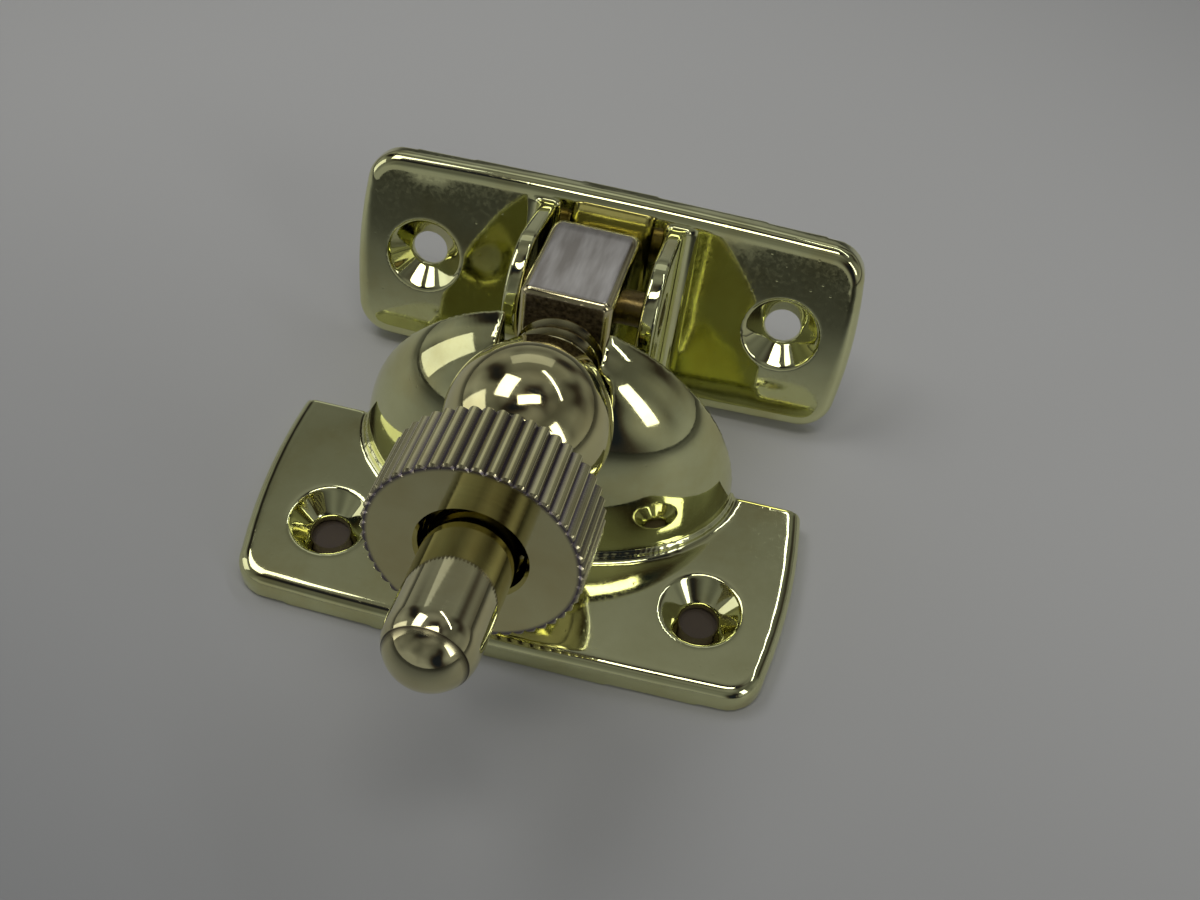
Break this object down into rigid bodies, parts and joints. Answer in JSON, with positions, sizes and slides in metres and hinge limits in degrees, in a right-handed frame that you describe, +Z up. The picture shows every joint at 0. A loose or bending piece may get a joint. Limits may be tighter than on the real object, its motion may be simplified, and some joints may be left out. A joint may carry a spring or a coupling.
{
  "type": "sash window fastener",
  "caption": "Polished brass sash fastener: a keeper plate with a slotted dome, and a hinged bracket whose screwed arm and ball-nosed thumb nut pull the sashes together.",
  "frame": {"origin": "middle of the keeper's flat underside, which lies on the sash or the table", "axes": "+Z up off the keeper's underside; +Y from the keeper towards the hinged bracket, across the meeting rails; +X along the plates' length"},
  "size_m": [0.0623, 0.0712, 0.0379],
  "materials": {
    "plate_brass": "polished",
    "pin_brass": "satin",
    "block_brass": "satin",
    "stem_brass": "polished",
    "nut_brass": "polished"
  },
  "bodies": {
    "keeper": {"keeper": "plate_brass"},
    "bracket": {"pivot_bracket": "plate_brass", "pivot_pin": "pin_brass"},
    "arm": {"swivel_block": "block_brass", "threaded_stem": "stem_brass"},
    "nut_nose": {"ball_end": "nut_brass"},
    "nut_wheel": {"thumb_wheel": "nut_brass"}
  },
  "joints": [
    {"name": "lift_off", "type": "slide", "parent": "keeper", "child": "bracket", "axis": [0, 0, 1], "range_m": [0, 0.045]},
    {"name": "arm_pivot", "type": "hinge", "parent": "bracket", "child": "arm", "pos_m": [0.0006, 0.02334, 0.01958], "axis": [-1, 0, 0], "range_deg": [0, 100]},
    {"name": "nut_travel", "type": "slide", "parent": "arm", "child": "nut_nose", "axis": [-0.02, -0.9826, 0.1849], "range_m": [0, 0.013]},
    {"name": "wheel_spin", "type": "hinge", "parent": "nut_nose", "child": "nut_wheel", "pos_m": [0.0006, 0.02334, 0.01958], "axis": [-0.02, -0.9826, 0.1849], "range_deg": [0, 2880]}
  ],
  "couplings": [
    {"joint": "nut_travel", "follows": "wheel_spin", "m_per_rad": 0.00025266}
  ]
}
